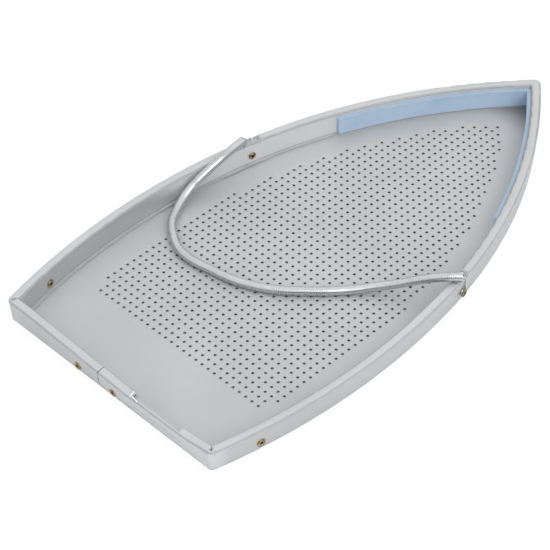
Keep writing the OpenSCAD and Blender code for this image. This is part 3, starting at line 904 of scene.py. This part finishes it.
def raised_edge():
    """The bare edge of the web beside the torn lip, turned up a little."""
    verts, faces = [], []
    steps = 5
    for k in range(steps + 1):
        t = k / steps
        y = -123.5 + 2.3 * t
        z = 9.35 + 1.25 * math.sin(t * math.pi / 2)
        half = 0.32 * (1 - 0.5 * t)
        for x, up in ((-half, 0.0), (half, 0.0), (half, 0.35), (-half, 0.35)):
            verts.append(Vector((13.55 + x, y, z + up)))
    for k in range(steps):
        a = 4 * k
        for j in range(4):
            n = (j + 1) % 4
            faces.append((a + j, a + n, a + 4 + n, a + 4 + j))
    faces += [(0, 1, 2, 3), (4 * steps, 4 * steps + 3, 4 * steps + 2, 4 * steps + 1)]
    return verts, faces


def make_rim():
    """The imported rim, cut finer along the heel and sagged there."""
    import bmesh

    bm = bmesh.new()
    bm.from_mesh(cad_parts["rim"].data)
    bmesh.ops.remove_doubles(bm, verts=bm.verts, dist=1e-6)
    cuts = [((x, 0, 0), (1, 0, 0)) for x in range(-48, 60, 2)]
    cuts += [((0, 0, z), (0, 0, 1)) for z in (3, 4, 4.9, 5.6, 6.1, 6.5, 7, 7.7, 8.6, 9.6, 10.6)]
    for place, normal in cuts:
        faces = [f for f in bm.faces if f.calc_center_median().y < HEEL_STRIP_Y * MM]
        edges = list({e for f in faces for e in f.edges})
        verts = list({v for f in faces for v in f.verts})
        bmesh.ops.bisect_plane(
            bm, geom=verts + edges + faces, plane_co=Vector(place) * MM, plane_no=normal, dist=1e-7
        )
    bmesh.ops.triangulate(bm, faces=[f for f in bm.faces if len(f.verts) > 4])
    for v in bm.verts:
        v.co = worn(v.co / MM) * MM
    added = (pocket_ramp(-1), pocket_ramp(1), torn_lip(), raised_edge())
    for index, (verts, faces) in enumerate(added):
        made = [bm.verts.new(v * MM) for v in verts]
        shell = [bm.faces.new([made[i] for i in face]) for face in faces]
        bmesh.ops.recalc_face_normals(bm, faces=shell)
        for face in shell:
            face.material_index = 1 if index >= 2 else 0
    mesh = bpy.data.meshes.new("worn_rim")
    bm.to_mesh(mesh)
    bm.free()
    obj = bpy.data.objects.new("worn_rim", mesh)
    bpy.context.scene.collection.objects.link(obj)
    obj.data.materials.append(rim_metal())
    obj.data.materials.append(torn_metal_glint())
    sharpen(obj, 40)
    flat_normals(obj)
    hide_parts("rim")
    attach(obj, "root")
    return obj


def dress(node, mat):
    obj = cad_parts[node]
    obj.data.materials.clear()
    obj.data.materials.append(mat)


# The studio: colours of the sky and of the panel, where the panel is, and its soft edge
HORIZON = (0.12, 0.12, 0.12)
CEILING = (1.0, 1.0, 1.0)
ZENITH = (1.04, 1.04, 1.04)
BEHIND_CAMERA = (0.08, 0.08, 0.08)
BEHIND_CAMERA_AT = (0.727, -0.678, 0.105)
PANEL = (3.2, 3.2, 3.2)
PANEL_AT = (0.7, -0.1, 0.68)
PANEL_OUTER = 27
PANEL_INNER = 14
# Share of plain white in the floor where the camera sees it, and where metal mirrors it
FLOOR_SEEN = 0.92
FLOOR_MIRRORED = 0.1


def white_floor():
    """White where the camera sees it, with a light shadow. Under the part it is a plain darker grey, painted
    shade.
    """
    mat, nodes, links, bsdf = material("floor_white")
    out = nodes["Material Output"]
    diffuse = nodes.new("ShaderNodeBsdfDiffuse")
    diffuse.inputs["Color"].default_value = (0.82, 0.82, 0.82, 1)
    glow = nodes.new("ShaderNodeEmission")
    glow.inputs["Strength"].default_value = 1.02
    rays = nodes.new("ShaderNodeLightPath")
    shine = nodes.new("ShaderNodeMath")
    shine.operation = "MAXIMUM"
    links.new(rays.outputs["Is Glossy Ray"], shine.inputs[0])
    links.new(rays.outputs["Is Transmission Ray"], shine.inputs[1])
    part = nodes.new("ShaderNodeMath")
    part.operation = "MULTIPLY"
    part.inputs[1].default_value = FLOOR_MIRRORED
    links.new(shine.outputs[0], part.inputs[0])
    share = nodes.new("ShaderNodeMath")
    share.operation = "MULTIPLY_ADD"
    share.inputs[1].default_value = FLOOR_SEEN
    links.new(rays.outputs["Is Camera Ray"], share.inputs[0])
    links.new(part.outputs[0], share.inputs[2])
    pick = nodes.new("ShaderNodeMixShader")
    links.new(share.outputs[0], pick.inputs["Fac"])
    links.new(diffuse.outputs[0], pick.inputs[1])
    links.new(glow.outputs[0], pick.inputs[2])
    links.new(pick.outputs[0], out.inputs["Surface"])
    nodes.remove(bsdf)
    return mat


def painted_shade_floor():
    mat, nodes, links, bsdf = material("floor_painted_shade")
    # painted shade: darker grey than the white floor, under the part
    bsdf.inputs["Base Color"].default_value = (0.4, 0.4, 0.4, 1)
    bsdf.inputs["Roughness"].default_value = 0.9
    return mat


def make_floor():
    reach = 3000.0
    under = outline(3.0, 12.0)
    corners = [Vector((x * reach, y * reach)) for x, y in ((-1, -1), (1, -1), (1, 1), (-1, 1))]
    points = corners + under
    loops = [[0, 1, 2, 3], list(range(4, 4 + len(under)))]
    flat, _, tris, _, _, origins = delaunay_2d_cdt(points, [], loops, 1, 1e-5)
    obj = new_object("floor", [(p.x, p.y, 0) for p in flat], tris, white_floor(), smooth=False)
    obj.data.materials.append(painted_shade_floor())
    for poly, o in zip(obj.data.polygons, origins):
        poly.material_index = 1 if 1 in o else 0


def direction_share(nodes, links, toward, start, end):
    """0 to 1 as the world's direction comes closer than start degrees, then end degrees."""
    coords = nodes.new("ShaderNodeTexCoord")
    dot = nodes.new("ShaderNodeVectorMath")
    dot.operation = "DOT_PRODUCT"
    dot.inputs[1].default_value = Vector(toward).normalized()
    links.new(coords.outputs["Generated"], dot.inputs[0])
    share = nodes.new("ShaderNodeMapRange")
    share.interpolation_type = "SMOOTHSTEP"
    share.inputs["From Min"].default_value = math.cos(math.radians(start))
    share.inputs["From Max"].default_value = math.cos(math.radians(end))
    links.new(dot.outputs["Value"], share.inputs["Value"])
    return share.outputs["Result"]


def mixed(nodes, links, share, low, high):
    """A colour that is low where share is 0 and high where it is 1. low may be a socket."""
    mix = nodes.new("ShaderNodeMix")
    mix.data_type = "RGBA"
    links.new(share, mix.inputs["Factor"])
    for name, value in (("A_Color", low), ("B_Color", high)):
        socket = next(s for s in mix.inputs if s.identifier == name)
        if isinstance(value, tuple):
            socket.default_value = (*value, 1)
        else:
            links.new(value, socket)
    return next(s for s in mix.outputs if s.identifier == "Result_Color")


def make_world():
    """A white studio: darker at the horizon, with one wide soft panel on the right."""
    world = bpy.data.worlds.new("studio")
    bpy.context.scene.world = world
    world.use_nodes = True
    nodes, links = world.node_tree.nodes, world.node_tree.links
    back = nodes["Background"]
    back.inputs["Strength"].default_value = 1.0
    above = direction_share(nodes, links, (0, 0, 1), 88, 72)
    room = mixed(nodes, links, above, HORIZON, CEILING)
    zenith = direction_share(nodes, links, (0, 0, 1), 52, 20)
    room = mixed(nodes, links, zenith, room, ZENITH)
    panel = direction_share(nodes, links, PANEL_AT, PANEL_OUTER, PANEL_INNER)
    room = mixed(nodes, links, panel, room, PANEL)
    behind = direction_share(nodes, links, BEHIND_CAMERA_AT, 27, 15)
    links.new(mixed(nodes, links, behind, room, BEHIND_CAMERA), back.inputs["Color"])
    seen = nodes.new("ShaderNodeBackground")
    seen.inputs["Color"].default_value = (1, 1, 1, 1)
    rays = nodes.new("ShaderNodeLightPath")
    mix = nodes.new("ShaderNodeMixShader")
    links.new(rays.outputs["Is Camera Ray"], mix.inputs["Fac"])
    links.new(back.outputs[0], mix.inputs[1])
    links.new(seen.outputs[0], mix.inputs[2])
    links.new(mix.outputs[0], nodes["World Output"].inputs["Surface"])


def make_camera():
    """The photograph's camera, found from the lattice of steam holes."""
    eye = Vector((0.52938, -0.52490, 0.68519))
    target = Vector((-0.00183, -0.03242, 0.0014))
    roll = math.radians(-1.8925)
    cam = bpy.data.cameras.new("camera")
    cam.sensor_width = 36.0
    cam.lens = 36.0 * 2478.94 / 550
    cam.clip_start, cam.clip_end = 0.05, 20
    obj = bpy.data.objects.new("camera", cam)
    look = (target - eye).to_track_quat("-Z", "Y").to_matrix()
    obj.matrix_world = Matrix.Translation(eye) @ (look @ Matrix.Rotation(roll, 3, "Z")).to_4x4()
    bpy.context.scene.collection.objects.link(obj)
    bpy.context.scene.camera = obj


make_camera()
make_world()
make_floor()
make_plate()
make_spring()
make_rim()
dress("nose_liner", liner_blue())
dress("sole_sheet", slip_sheet())
brass = rivet_brass()
dress("rim_rivets", brass)
dress("spring_rivets", brass)
bpy.context.scene.view_settings.view_transform = "Standard"
